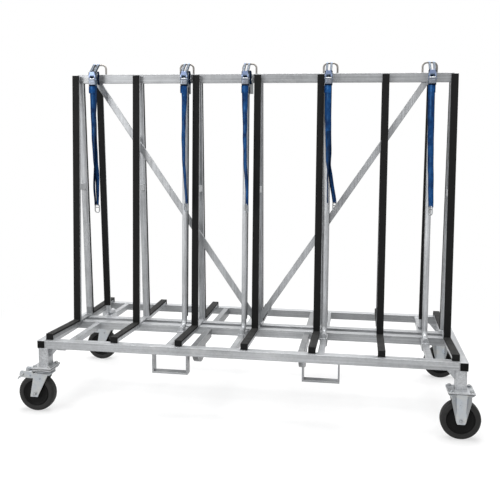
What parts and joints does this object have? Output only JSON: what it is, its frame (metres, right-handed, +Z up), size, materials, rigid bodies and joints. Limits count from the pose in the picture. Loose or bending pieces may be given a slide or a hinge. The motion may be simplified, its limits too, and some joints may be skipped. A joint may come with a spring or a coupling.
{
  "type": "sheet goods cart",
  "caption": "Double-sided A-frame cart on castors for glass and board sheets, with padded racks, sliding retaining bars and buckle straps.",
  "frame": {"origin": "centre of the bounding box on the floor under the wheels", "axes": "+X along the cart to the fixed-castor end, +Y to the rear side, +Z up"},
  "size_m": [2.3, 0.862, 1.796],
  "materials": {
    "galvanised": "hot-dip galvanised, matt",
    "rubber": "matt",
    "zinc_plated": "zinc plated",
    "tyre": "matt",
    "webbing": "woven"
  },
  "bodies": {
    "frame": {"front_rail": "galvanised", "rear_rail": "galvanised", "left_end_frame": "galvanised", "right_end_frame": "galvanised", "front_middle_rail": "galvanised", "rear_middle_rail": "galvanised", "top_rail": "galvanised", "cross_brace": "galvanised", "a_frame_1": "galvanised", "a_frame_2": "galvanised", "a_frame_3": "galvanised", "a_frame_4": "galvanised", "a_frame_5": "galvanised", "a_frame_6": "galvanised", "a_frame_7": "galvanised", "front_strip_1": "rubber", "front_strip_2": "rubber", "front_strip_3": "rubber", "front_strip_4": "rubber", "front_strip_5": "rubber", "front_strip_6": "rubber", "front_strip_7": "rubber", "rear_strip_1": "rubber", "rear_strip_2": "rubber", "rear_strip_3": "rubber", "rear_strip_4": "rubber", "rear_strip_5": "rubber", "rear_strip_6": "rubber", "rear_strip_7": "rubber", "front_right_fork": "zinc_plated", "rear_right_fork": "zinc_plated", "strap_1": "webbing", "strap_ring_1": "zinc_plated"},
    "front_bar_2": {"front_bar_2": "galvanised", "strap_2": "webbing", "strap_ring_2": "zinc_plated"},
    "front_bar_3": {"front_bar_3": "galvanised", "strap_3": "webbing", "strap_ring_3": "zinc_plated"},
    "front_bar_4": {"front_bar_4": "galvanised", "strap_4": "webbing", "strap_ring_4": "zinc_plated"},
    "front_bar_5": {"front_bar_5": "galvanised", "strap_5": "webbing", "strap_ring_5": "zinc_plated"},
    "rear_bar_1": {"rear_bar_1": "galvanised"},
    "rear_bar_5": {"rear_bar_5": "galvanised"},
    "buckle_lever_1": {"buckle_lever_1": "zinc_plated"},
    "buckle_lever_2": {"buckle_lever_2": "zinc_plated"},
    "buckle_lever_3": {"buckle_lever_3": "zinc_plated"},
    "buckle_lever_4": {"buckle_lever_4": "zinc_plated"},
    "buckle_lever_5": {"buckle_lever_5": "zinc_plated"},
    "front_left_fork": {"front_left_fork": "zinc_plated"},
    "front_left_wheel": {"front_left_wheel": "tyre"},
    "front_right_wheel": {"front_right_wheel": "tyre"},
    "front_left_pedal": {"front_left_pedal": "zinc_plated"},
    "rear_left_fork": {"rear_left_fork": "zinc_plated"},
    "rear_left_wheel": {"rear_left_wheel": "tyre"},
    "rear_right_wheel": {"rear_right_wheel": "tyre"},
    "rear_left_pedal": {"rear_left_pedal": "zinc_plated"}
  },
  "joints": [
    {"name": "front_bar_2_slide", "type": "slide", "parent": "frame", "child": "front_bar_2", "axis": [0, -1, 0], "range_m": [0, 0.19]},
    {"name": "front_bar_3_slide", "type": "slide", "parent": "frame", "child": "front_bar_3", "axis": [0, -1, 0], "range_m": [0, 0.19]},
    {"name": "front_bar_4_slide", "type": "slide", "parent": "frame", "child": "front_bar_4", "axis": [0, -1, 0], "range_m": [0, 0.19]},
    {"name": "front_bar_5_slide", "type": "slide", "parent": "frame", "child": "front_bar_5", "axis": [0, -1, 0], "range_m": [0, 0.19]},
    {"name": "rear_bar_1_slide", "type": "slide", "parent": "frame", "child": "rear_bar_1", "axis": [0, 1, 0], "range_m": [0, 0.19]},
    {"name": "rear_bar_5_slide", "type": "slide", "parent": "frame", "child": "rear_bar_5", "axis": [0, 1, 0], "range_m": [0, 0.19]},
    {"name": "buckle_lever_1_hinge", "type": "hinge", "parent": "frame", "child": "buckle_lever_1", "pos_m": [-0.873, -0.06339, 1.706], "axis": [-1, 0, 0], "range_deg": [0, 70]},
    {"name": "buckle_lever_2_hinge", "type": "hinge", "parent": "front_bar_2", "child": "buckle_lever_2", "pos_m": [-0.366, -0.06339, 1.706], "axis": [-1, 0, 0], "range_deg": [0, 70]},
    {"name": "buckle_lever_3_hinge", "type": "hinge", "parent": "front_bar_3", "child": "buckle_lever_3", "pos_m": [-0.038, -0.06339, 1.706], "axis": [-1, 0, 0], "range_deg": [0, 70]},
    {"name": "buckle_lever_4_hinge", "type": "hinge", "parent": "front_bar_4", "child": "buckle_lever_4", "pos_m": [0.394, -0.06339, 1.706], "axis": [-1, 0, 0], "range_deg": [0, 70]},
    {"name": "buckle_lever_5_hinge", "type": "hinge", "parent": "front_bar_5", "child": "buckle_lever_5", "pos_m": [0.912, -0.06339, 1.706], "axis": [-1, 0, 0], "range_deg": [0, 70]},
    {"name": "front_left_swivel", "type": "hinge", "parent": "frame", "child": "front_left_fork", "pos_m": [-1.007, -0.382, 0.215], "axis": [0, 0, 1], "continuous": true},
    {"name": "front_left_wheel_spin", "type": "hinge", "parent": "front_left_fork", "child": "front_left_wheel", "pos_m": [-1.051, -0.382, 0.095], "axis": [0, 1, 0], "continuous": true},
    {"name": "front_right_wheel_spin", "type": "hinge", "parent": "frame", "child": "front_right_wheel", "pos_m": [1.055, -0.382, 0.095], "axis": [0, 1, 0], "continuous": true},
    {"name": "front_left_pedal_press", "type": "hinge", "parent": "front_left_fork", "child": "front_left_pedal", "pos_m": [-1.077, -0.382, 0.198], "axis": [0, -1, 0], "range_deg": [0, 8]},
    {"name": "rear_left_swivel", "type": "hinge", "parent": "frame", "child": "rear_left_fork", "pos_m": [-1.007, 0.382, 0.215], "axis": [0, 0, 1], "continuous": true},
    {"name": "rear_left_wheel_spin", "type": "hinge", "parent": "rear_left_fork", "child": "rear_left_wheel", "pos_m": [-1.051, 0.382, 0.095], "axis": [0, 1, 0], "continuous": true},
    {"name": "rear_right_wheel_spin", "type": "hinge", "parent": "frame", "child": "rear_right_wheel", "pos_m": [1.055, 0.382, 0.095], "axis": [0, 1, 0], "continuous": true},
    {"name": "rear_left_pedal_press", "type": "hinge", "parent": "rear_left_fork", "child": "rear_left_pedal", "pos_m": [-1.077, 0.382, 0.198], "axis": [0, -1, 0], "range_deg": [0, 8]}
  ]
}
